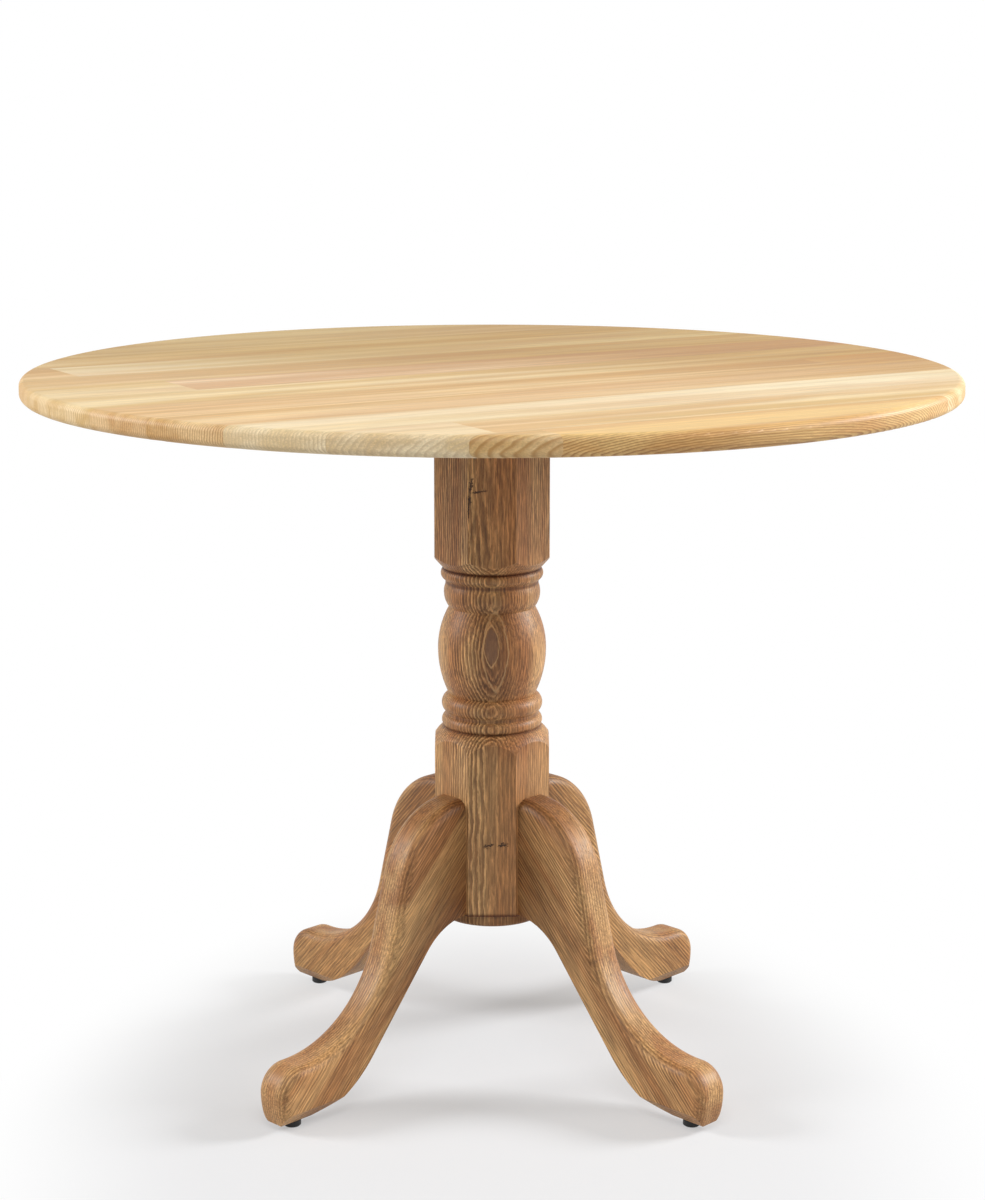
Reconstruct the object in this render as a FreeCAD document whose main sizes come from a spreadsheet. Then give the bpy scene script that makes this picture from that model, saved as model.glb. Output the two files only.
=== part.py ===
import FreeCAD, Part
import math
import os
from types import SimpleNamespace

import Sketcher
from FreeCAD import Placement, Rotation, Vector

# Round pedestal dining table. Millimetres and degrees, +Z up.
# The origin is on the floor, on the axis of the pedestal column.

drivingSizes = [
    # Tabletop panel, edge-glued from parallel staves
    ("table_diameter", 1000),
    ("table_height", 762),
    ("top_thickness", 21),
    ("top_edge_radius", 7),
    ("stave_angle", 31),
    # Stave layout, as shares of the table's diameter
    ("stave_width_ratio", 0.084),
    ("first_glue_line_ratio", 0.418),
    ("edge_joint_ratio", 0.202),
    ("front_joint_ratio", 0.245),
    ("left_joint_ratio", 0.344),
    ("back_joint_ratio", 0.404),
    ("right_joint_ratio", 0.345),
    # Cross bars under the panel
    ("bar_length", 560),
    ("bar_width", 70),
    ("bar_thickness", 28),
    ("bar_bevel_length", 40),
    ("bar_bevel_height", 14),
    ("lap_clearance", 0.1),
    # Screws from the bars into the panel
    ("top_screw_inner", 115),
    ("top_screw_outer", 225),
    ("top_screw_diameter", 4.5),
    ("top_screw_length", 32),
    ("top_screw_head_diameter", 9),
    ("top_screw_head_height", 3),
    ("top_screw_sink", 8),
    # Lag screws from the bars into the column
    ("lag_place", 48),
    ("lag_diameter", 8),
    ("lag_length", 70),
    ("lag_head_flats", 13),
    ("lag_head_height", 5.5),
    ("lag_sink", 9),
    ("lag_sink_diameter", 22),
    ("lag_washer_diameter", 18),
    ("lag_washer_thickness", 1.6),
    # Pedestal column: octagonal blocks above and below a turned middle
    ("column_flats", 124),
    ("block_bottom", 173),
    ("lower_block_height", 175),
    ("corner_margin", 0.5),
    ("lower_shoulder_height", 24),
    ("lower_shoulder_radius", 35),
    ("lower_shoulder_diameter", 105),
    ("foot_bead_height", 12.5),
    ("foot_bead_radius", 8),
    ("lower_groove_diameter", 102),
    ("lower_groove_height", 3.5),
    ("collar_bead_height", 19.5),
    ("collar_bead_radius", 11.5),
    ("lower_neck_diameter", 95),
    ("urn_diameter", 118),
    ("urn_lower_height", 50),
    ("urn_upper_height", 46),
    ("upper_neck_diameter", 93.6),
    ("cup_height", 25.5),
    ("cup_radius", 26),
    ("upper_groove_diameter", 101.4),
    ("upper_groove_height", 4.5),
    ("top_bead_height", 13),
    ("top_bead_radius", 7.6),
    ("upper_shoulder_diameter", 106),
    ("upper_shoulder_height", 16.5),
    ("bore_diameter", 70),
    ("bore_depth", 135),
    # Turned cap that closes the bore
    ("cap_diameter", 116),
    ("cap_thickness", 13.5),
    ("cap_edge_radius", 4),
    ("cap_screw_place", 46),
    ("cap_screw_diameter", 4.5),
    ("cap_screw_length", 30),
    ("cap_screw_head_diameter", 9),
    ("cap_screw_head_height", 3),
    # Legs, sawn from plank and rounded over
    ("leg_thickness", 44),
    ("leg_root_lift", 1),
    ("leg_root_height", 128),
    ("knee_radius", 88),
    ("knee_angle", 75),
    ("foot_reach", 322),
    ("toe_top", 67),
    ("toe_flat", 4),
    ("toe_radius", 29),
    ("toe_undercut", 6),
    ("sole_length", 40),
    ("sole_width", 21),
    ("sole_bevel_height", 13),
    ("arch_radius", 136),
    ("arch_steepness_ratio", 1.76),
    ("root_radius", 75),
    ("upper_arris_radius", 12),
    # Hanger bolts, saddle washers, nuts and dowels at the leg roots
    ("bolt_diameter", 8),
    ("bolt_in_leg", 50),
    ("bolt_tip_place", 15),
    ("bolt_low", 31),
    ("bolt_high", 95),
    ("bolt_clearance", 0.2),
    ("saddle_diameter", 20),
    ("saddle_thickness", 4),
    ("nut_flats", 13),
    ("nut_height", 6.5),
    ("dowel_diameter", 10),
    ("dowel_rise", 63),
    ("dowel_in_column", 20),
    ("dowel_in_leg", 30),
    ("dowel_end_gap", 0.5),
    ("wood_fit", 0.05),
    # Levelling glides in the feet
    ("glide_setback", 30),
    ("pad_diameter", 18),
    ("pad_height", 6.5),
    ("pad_edge", 1),
    ("pad_floor", 2),
    ("collar_diameter", 9),
    ("collar_height", 1.6),
    ("stem_diameter", 6),
    ("stem_length", 26),
    ("stem_tip", 1),
    ("stem_room", 9),
    ("glide_clearance", 0.05),
    ("flange_diameter", 16),
    ("flange_thickness", 1.5),
    ("insert_diameter", 10),
    ("insert_length", 18),
]

doc = FreeCAD.newDocument("RoundDiningTable")
sheet = doc.addObject("Spreadsheet::Sheet", "Sizes")
for row, (name, number) in enumerate(drivingSizes, start=1):
    sheet.set("A%d" % row, name.replace("_", " "))
    sheet.set("B%d" % row, str(number))
    sheet.setAlias("B%d" % row, name)
doc.recompute()


class Size:
    # A number together with the sheet expression that gives it.
    def __init__(self, value, text):
        self.value = value
        self.text = text

    def join(self, other, sign, value):
        return Size(value, "(%s %s %s)" % (self.text, sign, other.text))

    def __add__(self, other):
        other = asSize(other)
        return self.join(other, "+", self.value + other.value)

    def __sub__(self, other):
        other = asSize(other)
        return self.join(other, "-", self.value - other.value)

    def __mul__(self, other):
        other = asSize(other)
        return self.join(other, "*", self.value * other.value)

    def __truediv__(self, other):
        other = asSize(other)
        return self.join(other, "/", self.value / other.value)

    def __neg__(self):
        return Size(-self.value, "(-1 * %s)" % self.text)


def asSize(number):
    if isinstance(number, Size):
        return number
    return Size(float(number), "%.9g" % number)


def sine(angle):
    return Size(math.sin(math.radians(angle.value)), "sin(%s)" % angle.text)


def cosine(angle):
    return Size(math.cos(math.radians(angle.value)), "cos(%s)" % angle.text)


def arctangent(slope):
    return Size(math.degrees(math.atan(slope.value)), "atan(%s)" % slope.text)


def root(size):
    return Size(math.sqrt(size.value), "sqrt(%s)" % size.text)


def sheetSize(name):
    return Size(float(sheet.get(name)), "Sizes.%s" % name)


s = SimpleNamespace(**{name: sheetSize(name) for name, number in drivingSizes})
zero = asSize(0)


# Heights and places that several pieces share

topRadius = s.table_diameter / 2
panelBottom = s.table_height - s.top_thickness
barBottom = panelBottom - s.bar_thickness
columnFace = s.column_flats / 2
capBottom = s.block_bottom - s.cap_thickness
rootBottom = s.block_bottom + s.leg_root_lift
rootTop = rootBottom + s.leg_root_height
soleHeight = s.pad_height + s.flange_thickness
glidePlace = s.foot_reach - s.glide_setback
boltHeights = [rootBottom + s.bolt_low, rootBottom + s.bolt_high]
dowelHeight = rootBottom + s.dowel_rise
legTurn = 45
legNames = ["back_right", "back_left", "front_left", "front_right"]


# Small helpers for bodies, sketches and features

def bind(thing, name, size):
    setattr(thing, name, size.value)
    thing.setExpression(name, size.text)


def turnAboutZ(thing, degrees):
    thing.Placement = Placement(Vector(), Rotation(Vector(0, 0, 1), degrees))


def newBody(name):
    body = doc.addObject("PartDesign::Body", name)
    body.Label = name
    return body


def originPart(body, role):
    return next(part for part in body.Origin.OriginFeatures if part.Role == role)


def newSketch(body, name, role, offset=None):
    sketch = body.newObject("Sketcher::SketchObject", name)
    sketch.AttachmentSupport = [(originPart(body, role), "")]
    sketch.MapMode = "FlatFace"
    if offset is not None:
        sketch.AttachmentOffset = Placement(Vector(0, 0, offset.value), Rotation())
        sketch.setExpression("AttachmentOffset.Base.z", offset.text)
    return sketch


def bindConstraint(sketch, constraint, size):
    index = sketch.addConstraint(constraint)
    sketch.setExpression("Constraints[%d]" % index, size.text)


def holdPoint(sketch, geometry, position, x, y):
    for kind, axis, size in (("DistanceX", -2, x), ("DistanceY", -1, y)):
        if size is zero:
            sketch.addConstraint(Sketcher.Constraint("PointOnObject", geometry, position, axis))
        else:
            constraint = Sketcher.Constraint(kind, -1, 1, geometry, position, size.value)
            bindConstraint(sketch, constraint, size)


def addArc(sketch, start, finish, radius, side):
    # side 1 bulges to the left of the way from start to finish, -1 to the right
    chord = finish - start
    left = Vector(-chord.y, chord.x, 0).normalize()
    rise = math.sqrt(max(radius.value ** 2 - (chord.Length / 2) ** 2, 0))
    centre = (start + finish) * 0.5 - left * (side * rise)
    first, last = (finish, start) if side > 0 else (start, finish)
    angles = [math.atan2(p.y - centre.y, p.x - centre.x) for p in (first, last)]
    if angles[1] < angles[0]:
        angles[1] += 2 * math.pi
    circle = Part.Circle(centre, Vector(0, 0, 1), radius.value)
    geometry = sketch.addGeometry(Part.ArcOfCircle(circle, angles[0], angles[1]), False)
    bindConstraint(sketch, Sketcher.Constraint("Radius", geometry, radius.value), radius)
    return (geometry, 2, 1) if side > 0 else (geometry, 1, 2)


def outline(sketch, points, arcs=None):
    # Closed outline; arcs gives the radius and side of the stretches that are round
    arcs = arcs or {}
    count = len(points)
    corners = [Vector(x.value, y.value, 0) for x, y in points]
    stretches = []
    for index in range(count):
        start = corners[index]
        finish = corners[(index + 1) % count]
        if index in arcs:
            radius, side = arcs[index]
            stretches.append(addArc(sketch, start, finish, radius, side))
        else:
            geometry = sketch.addGeometry(Part.LineSegment(start, finish), False)
            stretches.append((geometry, 1, 2))
    for index in range(count):
        geometry, first, last = stretches[index]
        following, followingFirst, followingLast = stretches[(index + 1) % count]
        meeting = Sketcher.Constraint("Coincident", geometry, last, following, followingFirst)
        sketch.addConstraint(meeting)
        holdPoint(sketch, geometry, first, points[index][0], points[index][1])


def circles(sketch, centres, diameter):
    for x, y in centres:
        circle = Part.Circle(Vector(x.value, y.value, 0), Vector(0, 0, 1), diameter.value / 2)
        geometry = sketch.addGeometry(circle, False)
        bindConstraint(sketch, Sketcher.Constraint("Diameter", geometry, diameter.value), diameter)
        holdPoint(sketch, geometry, 3, x, y)


def pad(body, sketch, length, symmetric=False):
    feature = body.newObject("PartDesign::Pad", "Pad")
    feature.Profile = sketch
    feature.SideType = "Symmetric" if symmetric else "One side"
    bind(feature, "Length", length)
    return feature


def pocket(body, sketch, depth=None, forward=False):
    # forward cuts along the sketch's normal, otherwise against it
    feature = body.newObject("PartDesign::Pocket", "Pocket")
    feature.Profile = sketch
    feature.Reversed = forward
    if depth is None:
        feature.Type = "ThroughAll"
    else:
        bind(feature, "Length", depth)
    return feature


def revolve(body, sketch, kind="PartDesign::Revolution"):
    feature = body.newObject(kind, "Turned")
    feature.Profile = sketch
    feature.ReferenceAxis = (sketch, ["V_Axis"])
    feature.Angle = 360
    return feature


def turnedBody(name, points, arcs=None):
    body = newBody(name)
    sketch = newSketch(body, name + "_profile", "XZ_Plane")
    outline(sketch, points, arcs)
    revolve(body, sketch)
    return body


def fillet(body, edges, radius):
    base = body.Tip
    feature = body.newObject("PartDesign::Fillet", "Fillet")
    feature.Base = (base, edges)
    bind(feature, "Radius", radius)
    doc.recompute()


def cylinder(name, diameter, height):
    shape = doc.addObject("Part::Cylinder", name)
    bind(shape, "Radius", diameter / 2)
    bind(shape, "Height", height)
    return shape


def cut(name, base, tool):
    shape = doc.addObject("Part::Cut", name)
    shape.Base = base
    shape.Tool = tool
    return shape


def placed(thing, place, rotation):
    thing.Placement = Placement(Vector(*[size.value for size in place]), rotation)
    for axis, size in zip("xyz", place):
        thing.setExpression("Placement.Base.%s" % axis, size.text)


def group(name, piece, places):
    # One node of identical separate pieces, each put in its place
    links = []
    for index, (place, rotation) in enumerate(places):
        link = doc.addObject("App::Link", "%s_%d" % (name, index + 1))
        link.LinkedObject = piece
        placed(link, place, rotation)
        links.append(link)
    compound = doc.addObject("Part::Compound", name)
    compound.Links = links
    return compound


def cross(reach):
    # The four places at one reach along X and Y
    return [(reach, zero), (zero, reach), (-reach, zero), (zero, -reach)]


def diagonal(reach):
    # The four places at one reach along the diagonals
    part = reach * math.cos(math.radians(45))
    return [(part, part), (-part, part), (-part, -part), (part, -part)]


def aboutAxis(reach, height, tilt=None):
    # Four quarter turns about the column's axis
    places = []
    for quarter, (x, y) in enumerate(cross(reach)):
        rotation = Rotation(Vector(0, 0, 1), 90 * quarter)
        if tilt is not None:
            rotation = rotation * tilt
        places.append(((x, y, height), rotation))
    return places


parts = []


def keep(thing, label):
    thing.Label = label
    parts.append(thing)
    return thing


# Tabletop: one turned blank, cut along the glue lines into its staves

def makeTabletop():
    rim = topRadius - s.top_edge_radius
    blank = turnedBody("panel_blank", [
        (zero, panelBottom),
        (rim, panelBottom),
        (topRadius, panelBottom + s.top_edge_radius),
        (topRadius, s.table_height - s.top_edge_radius),
        (rim, s.table_height),
        (zero, s.table_height),
    ], {1: (s.top_edge_radius, -1), 3: (s.top_edge_radius, -1)})
    holes = newSketch(blank, "panel_screw_holes", "XY_Plane", panelBottom)
    places = cross(s.top_screw_inner) + cross(s.top_screw_outer)
    circles(holes, places, s.top_screw_diameter + s.wood_fit * 2)
    depth = s.top_screw_length + s.top_screw_sink - s.bar_thickness + s.dowel_end_gap
    pocket(blank, holes, depth, forward=True)
    blank.Placement = Placement(Vector(), Rotation(Vector(0, 0, 1), -s.stave_angle.value))
    blank.setExpression("Placement.Rotation.Angle", (-s.stave_angle).text)

    staveWidth = s.table_diameter * s.stave_width_ratio
    firstGlueLine = s.table_diameter * s.first_glue_line_ratio
    count = 1 + math.ceil((topRadius + firstGlueLine).value / staveWidth.value)
    endJoints = {
        1: -s.table_diameter * s.edge_joint_ratio,
        2: -s.table_diameter * s.front_joint_ratio,
        5: s.table_diameter * s.right_joint_ratio,
        7: -s.table_diameter * s.left_joint_ratio,
        9: -s.table_diameter * s.back_joint_ratio,
    }
    for number in range(1, count + 1):
        low = -topRadius if number == 1 else staveWidth * (number - 2) - firstGlueLine
        high = topRadius if number == count else staveWidth * (number - 1) - firstGlueLine
        name = "top_stave_%02d" % number
        if number in endJoints:
            joint = endJoints[number]
            makeStave(blank, name + "_left", -topRadius, joint, low, high)
            makeStave(blank, name + "_right", joint, topRadius, low, high)
        else:
            makeStave(blank, name, -topRadius, topRadius, low, high)


def makeStave(blank, name, left, right, low, high):
    strip = doc.addObject("Part::Box", name + "_strip")
    bind(strip, "Length", right - left)
    bind(strip, "Width", high - low)
    bind(strip, "Height", s.top_thickness)
    placed(strip, (left, low, panelBottom), Rotation())
    stave = doc.addObject("Part::Common", name)
    stave.Base = blank
    stave.Tool = strip
    turnAboutZ(stave, s.stave_angle.value)
    stave.setExpression("Placement.Rotation.Angle", s.stave_angle.text)
    keep(stave, name)


# Cross bars, half-lapped over the column and bevelled at the ends

def makeCrossBar(name, turn, lapAbove):
    bar = newBody(name)
    half = s.bar_length / 2
    profile = newSketch(bar, name + "_profile", "XZ_Plane")
    outline(profile, [
        (-half, panelBottom),
        (-half, barBottom + s.bar_bevel_height),
        (s.bar_bevel_length - half, barBottom),
        (half - s.bar_bevel_length, barBottom),
        (half, barBottom + s.bar_bevel_height),
        (half, panelBottom),
    ])
    pad(bar, profile, s.bar_width, symmetric=True)

    lapHalf = s.bar_width / 2 + s.lap_clearance
    lap = newSketch(bar, name + "_lap", "XY_Plane", barBottom + s.bar_thickness / 2)
    outline(lap, [
        (-lapHalf, -s.bar_width),
        (lapHalf, -s.bar_width),
        (lapHalf, s.bar_width),
        (-lapHalf, s.bar_width),
    ])
    pocket(bar, lap, forward=lapAbove)

    screws = [(x, y) for reach in (s.top_screw_inner, s.top_screw_outer)
              for x, y in cross(reach) if y is zero]
    lags = [(x, y) for x, y in cross(s.lag_place) if y is zero]
    below = newSketch(bar, name + "_screw_sinks", "XY_Plane", barBottom)
    circles(below, screws, s.top_screw_head_diameter + s.bolt_clearance * 2)
    pocket(bar, below, s.top_screw_sink, forward=True)
    through = newSketch(bar, name + "_screw_holes", "XY_Plane", barBottom)
    circles(through, screws, s.top_screw_diameter + s.wood_fit * 2)
    pocket(bar, through, forward=True)
    above = newSketch(bar, name + "_lag_sinks", "XY_Plane", panelBottom)
    circles(above, lags, s.lag_sink_diameter)
    pocket(bar, above, s.lag_sink)
    lagHoles = newSketch(bar, name + "_lag_holes", "XY_Plane", panelBottom)
    circles(lagHoles, lags, s.lag_diameter + s.bolt_clearance * 2)
    pocket(bar, lagHoles)
    turnAboutZ(bar, turn)
    keep(bar, name)


def makeScrew(name, diameter, length, headDiameter, headHeight):
    # Pan-headed wood screw, head seat at the origin, point along +Z
    return turnedBody(name, [
        (zero, -headHeight),
        (headDiameter / 2, -headHeight),
        (headDiameter / 2, zero),
        (diameter / 2, zero),
        (diameter / 2, length - diameter),
        (zero, length),
    ])


def makeTopScrews():
    screw = makeScrew("top_screw", s.top_screw_diameter, s.top_screw_length,
                      s.top_screw_head_diameter, s.top_screw_head_height)
    seat = barBottom + s.top_screw_sink
    places = aboutAxis(s.top_screw_inner, seat) + aboutAxis(s.top_screw_outer, seat)
    keep(group("top_screws", screw, places), "top_screws")


def makeLagScrews():
    # Hexagon head with its seat at the origin, shank down the -Z side
    head = doc.addObject("Part::Prism", "lag_head")
    head.Polygon = 6
    bind(head, "Circumradius", s.lag_head_flats / (2 * math.cos(math.radians(30))))
    bind(head, "Height", s.lag_head_height)
    shank = cylinder("lag_shank", s.lag_diameter, s.lag_length)
    placed(shank, (zero, zero, -s.lag_length), Rotation())
    screw = doc.addObject("Part::Fuse", "lag_screw")
    screw.Base = head
    screw.Tool = shank
    ring = cylinder("lag_washer_ring", s.lag_washer_diameter, s.lag_washer_thickness)
    hole = cylinder("lag_washer_hole", s.lag_diameter + s.bolt_clearance * 2, s.lag_washer_thickness)
    washer = cut("lag_washer", ring, hole)
    seat = panelBottom - s.lag_sink
    keep(group("lag_washers", washer, aboutAxis(s.lag_place, seat)), "lag_washers")
    headSeat = seat + s.lag_washer_thickness
    keep(group("lag_screws", screw, aboutAxis(s.lag_place, headSeat)), "lag_screws")


# Column: an octagonal post with its middle turned, bored from below.
# Its body is drawn with the legs along X and Y, then turned to the diagonals.

def turnedOutline():
    corner = columnFace / math.cos(math.radians(22.5)) + s.corner_margin
    outside = s.column_flats * 0.6
    steps = [
        (corner, s.lower_shoulder_height),
        (s.lower_shoulder_diameter / 2, s.foot_bead_height),
        (s.lower_groove_diameter / 2, s.lower_groove_height),
        (s.lower_groove_diameter / 2, s.collar_bead_height),
        (s.lower_neck_diameter / 2, s.urn_lower_height),
        (s.urn_diameter / 2, s.urn_upper_height),
        (s.upper_neck_diameter / 2, s.cup_height),
        (s.upper_groove_diameter / 2, s.upper_groove_height),
        (s.upper_groove_diameter / 2, s.top_bead_height),
        (s.upper_shoulder_diameter / 2, s.upper_shoulder_height),
    ]
    height = s.block_bottom + s.lower_block_height
    points = [(outside, height)]
    for radius, rise in steps:
        points.append((radius, height))
        height = height + rise
    points.append((corner, height))
    points.append((outside, height))

    def swell(neck, rise):
        depth = (s.urn_diameter - neck) / 2
        return (rise * rise + depth * depth) / (depth * 2)

    arcs = {
        1: (s.lower_shoulder_radius, -1),
        2: (s.foot_bead_radius, -1),
        4: (s.collar_bead_radius, -1),
        5: (swell(s.lower_neck_diameter, s.urn_lower_height), -1),
        6: (swell(s.upper_neck_diameter, s.urn_upper_height), -1),
        7: (s.cup_radius, -1),
        9: (s.top_bead_radius, -1),
    }
    return points, arcs


def makeColumn():
    column = newBody("pedestal_column")
    blank = newSketch(column, "column_octagon", "XY_Plane", s.block_bottom)
    side = columnFace * math.tan(math.radians(22.5))
    outline(blank, [
        (columnFace, -side), (columnFace, side), (side, columnFace), (-side, columnFace),
        (-columnFace, side), (-columnFace, -side), (-side, -columnFace), (side, -columnFace),
    ])
    pad(column, blank, barBottom - s.block_bottom)

    turning = newSketch(column, "column_turning", "XZ_Plane")
    points, arcs = turnedOutline()
    outline(turning, points, arcs)
    revolve(column, turning, "PartDesign::Groove")

    bore = newSketch(column, "column_bore", "XY_Plane", s.block_bottom)
    circles(bore, [(zero, zero)], s.bore_diameter)
    pocket(column, bore, s.bore_depth, forward=True)

    boltHoles = newSketch(column, "column_bolt_holes", "YZ_Plane", columnFace)
    circles(boltHoles, [(zero, height) for height in boltHeights],
            s.bolt_diameter + s.bolt_clearance * 2)
    boltPocket = pocket(column, boltHoles, columnFace)
    dowelHole = newSketch(column, "column_dowel_hole", "YZ_Plane", columnFace)
    circles(dowelHole, [(zero, dowelHeight)], s.dowel_diameter + s.wood_fit * 2)
    dowelPocket = pocket(column, dowelHole, s.dowel_in_column + s.dowel_end_gap)
    around = column.newObject("PartDesign::PolarPattern", "four_legs")
    around.Originals = [boltPocket, dowelPocket]
    around.Axis = (originPart(column, "Z_Axis"), [""])
    around.Angle = 360
    around.Occurrences = 4
    column.Tip = around

    lagHoles = newSketch(column, "column_lag_holes", "XY_Plane", barBottom)
    circles(lagHoles, diagonal(s.lag_place), s.lag_diameter + s.wood_fit * 2)
    lagDepth = s.lag_length + s.lag_sink - s.lag_washer_thickness - s.bar_thickness
    pocket(column, lagHoles, lagDepth + s.dowel_end_gap)
    capHoles = newSketch(column, "column_cap_holes", "XY_Plane", s.block_bottom)
    circles(capHoles, diagonal(s.cap_screw_place), s.cap_screw_diameter + s.wood_fit * 2)
    capDepth = s.cap_screw_length + s.cap_screw_head_height - s.cap_thickness
    pocket(column, capHoles, capDepth + s.dowel_end_gap, forward=True)
    turnAboutZ(column, legTurn)
    keep(column, "pedestal_column")


def makeEndCap():
    edge = s.cap_diameter / 2 - s.cap_edge_radius
    cap = turnedBody("end_cap", [
        (zero, capBottom),
        (edge, capBottom),
        (s.cap_diameter / 2, capBottom + s.cap_edge_radius),
        (s.cap_diameter / 2, s.block_bottom),
        (zero, s.block_bottom),
    ], {1: (s.cap_edge_radius, -1)})
    sinks = newSketch(cap, "cap_screw_sinks", "XY_Plane", capBottom)
    circles(sinks, cross(s.cap_screw_place), s.cap_screw_head_diameter + s.bolt_clearance * 2)
    pocket(cap, sinks, s.cap_screw_head_height, forward=True)
    holes = newSketch(cap, "cap_screw_holes", "XY_Plane", capBottom)
    circles(holes, cross(s.cap_screw_place), s.cap_screw_diameter + s.wood_fit * 2)
    pocket(cap, holes, forward=True)
    keep(cap, "end_cap")

    screw = makeScrew("cap_screw", s.cap_screw_diameter, s.cap_screw_length,
                      s.cap_screw_head_diameter, s.cap_screw_head_height)
    places = aboutAxis(s.cap_screw_place, capBottom + s.cap_screw_head_height)
    keep(group("end_cap_screws", screw, places), "end_cap_screws")


# Legs: an S-shaped plank in the upright plane through the column's axis

def legOutline():
    turn = s.knee_angle
    drop = asSize(1) - cosine(turn)
    kneeX = columnFace + s.knee_radius * sine(turn)
    kneeZ = rootTop - s.knee_radius * drop
    toeX = s.foot_reach - s.toe_radius
    toeStart = toeX - s.toe_flat
    across = toeStart - kneeX
    down = kneeZ - s.toe_top
    shin = (down * sine(turn) - across * drop) / drop
    instepRadius = (across * sine(turn) - down * cosine(turn)) / drop
    shinX = kneeX + shin * cosine(turn)
    shinZ = kneeZ - shin * sine(turn)

    tipZ = s.toe_top - s.toe_radius
    soleEnd = s.foot_reach - s.toe_undercut
    tipDrop = tipZ - soleHeight
    tipRadius = (tipDrop * tipDrop + s.toe_undercut * s.toe_undercut) / (s.toe_undercut * 2)
    heelX = soleEnd - s.sole_length

    rise = arctangent(s.arch_steepness_ratio * rootBottom / (s.foot_reach - columnFace))
    hollowX = columnFace + s.root_radius * sine(rise)
    hollowZ = rootBottom - s.root_radius * (asSize(1) - cosine(rise))
    along = (heelX - hollowX) * cosine(rise) + (hollowZ - soleHeight) * sine(rise)
    aside = (heelX - hollowX) * sine(rise) - (hollowZ - soleHeight) * cosine(rise)
    calf = along - root(aside * (s.arch_radius * 2 - aside))
    calfX = hollowX + calf * cosine(rise)
    calfZ = hollowZ - calf * sine(rise)

    points = [
        (columnFace, rootTop),
        (kneeX, kneeZ),
        (shinX, shinZ),
        (toeStart, s.toe_top),
        (toeX, s.toe_top),
        (s.foot_reach, tipZ),
        (soleEnd, soleHeight),
        (heelX, soleHeight),
        (calfX, calfZ),
        (hollowX, hollowZ),
        (columnFace, rootBottom),
    ]
    arcs = {
        0: (s.knee_radius, 1),
        2: (instepRadius, -1),
        4: (s.toe_radius, 1),
        5: (tipRadius, 1),
        7: (s.arch_radius, 1),
        9: (s.root_radius, -1),
    }
    return points, arcs


def sideEdges(shape, points, stretches):
    # Names of the edges on the leg's two flat sides that run along these stretches
    tolerance = 0.01
    names = []
    for number, edge in enumerate(shape.Edges, start=1):
        ends = [vertex.Point for vertex in edge.Vertexes]
        if len(ends) != 2 or abs(ends[0].y - ends[1].y) > tolerance:
            continue
        for index in stretches:
            wanted = [Vector(x.value, ends[0].y, z.value) for x, z in points[index:index + 2]]
            gaps = [min(end.distanceToPoint(corner) for end in ends) for corner in wanted]
            if max(gaps) < tolerance:
                names.append("Edge%d" % number)
    return names


def makeLeg(name, turn):
    leg = newBody(name)
    points, arcs = legOutline()
    profile = newSketch(leg, name + "_profile", "XZ_Plane")
    outline(profile, points, arcs)
    pad(leg, profile, s.leg_thickness, symmetric=True)
    doc.recompute()
    fillet(leg, sideEdges(leg.Tip.Shape, points, range(0, 6)), s.upper_arris_radius)

    half = s.leg_thickness / 2
    for side, sign in (("right", 1), ("left", -1)):
        bevel = newSketch(leg, name + "_sole_bevel_" + side, "YZ_Plane", s.foot_reach)
        outline(bevel, [
            (s.sole_width / 2 * sign, soleHeight),
            (half * sign, soleHeight),
            (half * sign, soleHeight + s.sole_bevel_height),
        ])
        pocket(leg, bevel)
    boltHoles = newSketch(leg, name + "_bolt_holes", "YZ_Plane", columnFace)
    circles(boltHoles, [(zero, height) for height in boltHeights], s.bolt_diameter + s.wood_fit * 2)
    pocket(leg, boltHoles, s.bolt_in_leg + s.dowel_end_gap, forward=True)
    dowelHole = newSketch(leg, name + "_dowel_hole", "YZ_Plane", columnFace)
    circles(dowelHole, [(zero, dowelHeight)], s.dowel_diameter + s.wood_fit * 2)
    pocket(leg, dowelHole, s.dowel_in_leg + s.dowel_end_gap, forward=True)
    insertHole = newSketch(leg, name + "_insert_hole", "XY_Plane", soleHeight)
    circles(insertHole, [(glidePlace, zero)], s.insert_diameter + s.wood_fit * 2)
    pocket(leg, insertHole, s.insert_length + s.dowel_end_gap, forward=True)
    stemHole = newSketch(leg, name + "_stem_hole", "XY_Plane", soleHeight)
    circles(stemHole, [(glidePlace, zero)], s.stem_diameter + s.bolt_clearance * 2)
    pocket(leg, stemHole, s.insert_length + s.stem_room, forward=True)
    turnAboutZ(leg, turn)
    keep(leg, name)


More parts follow.
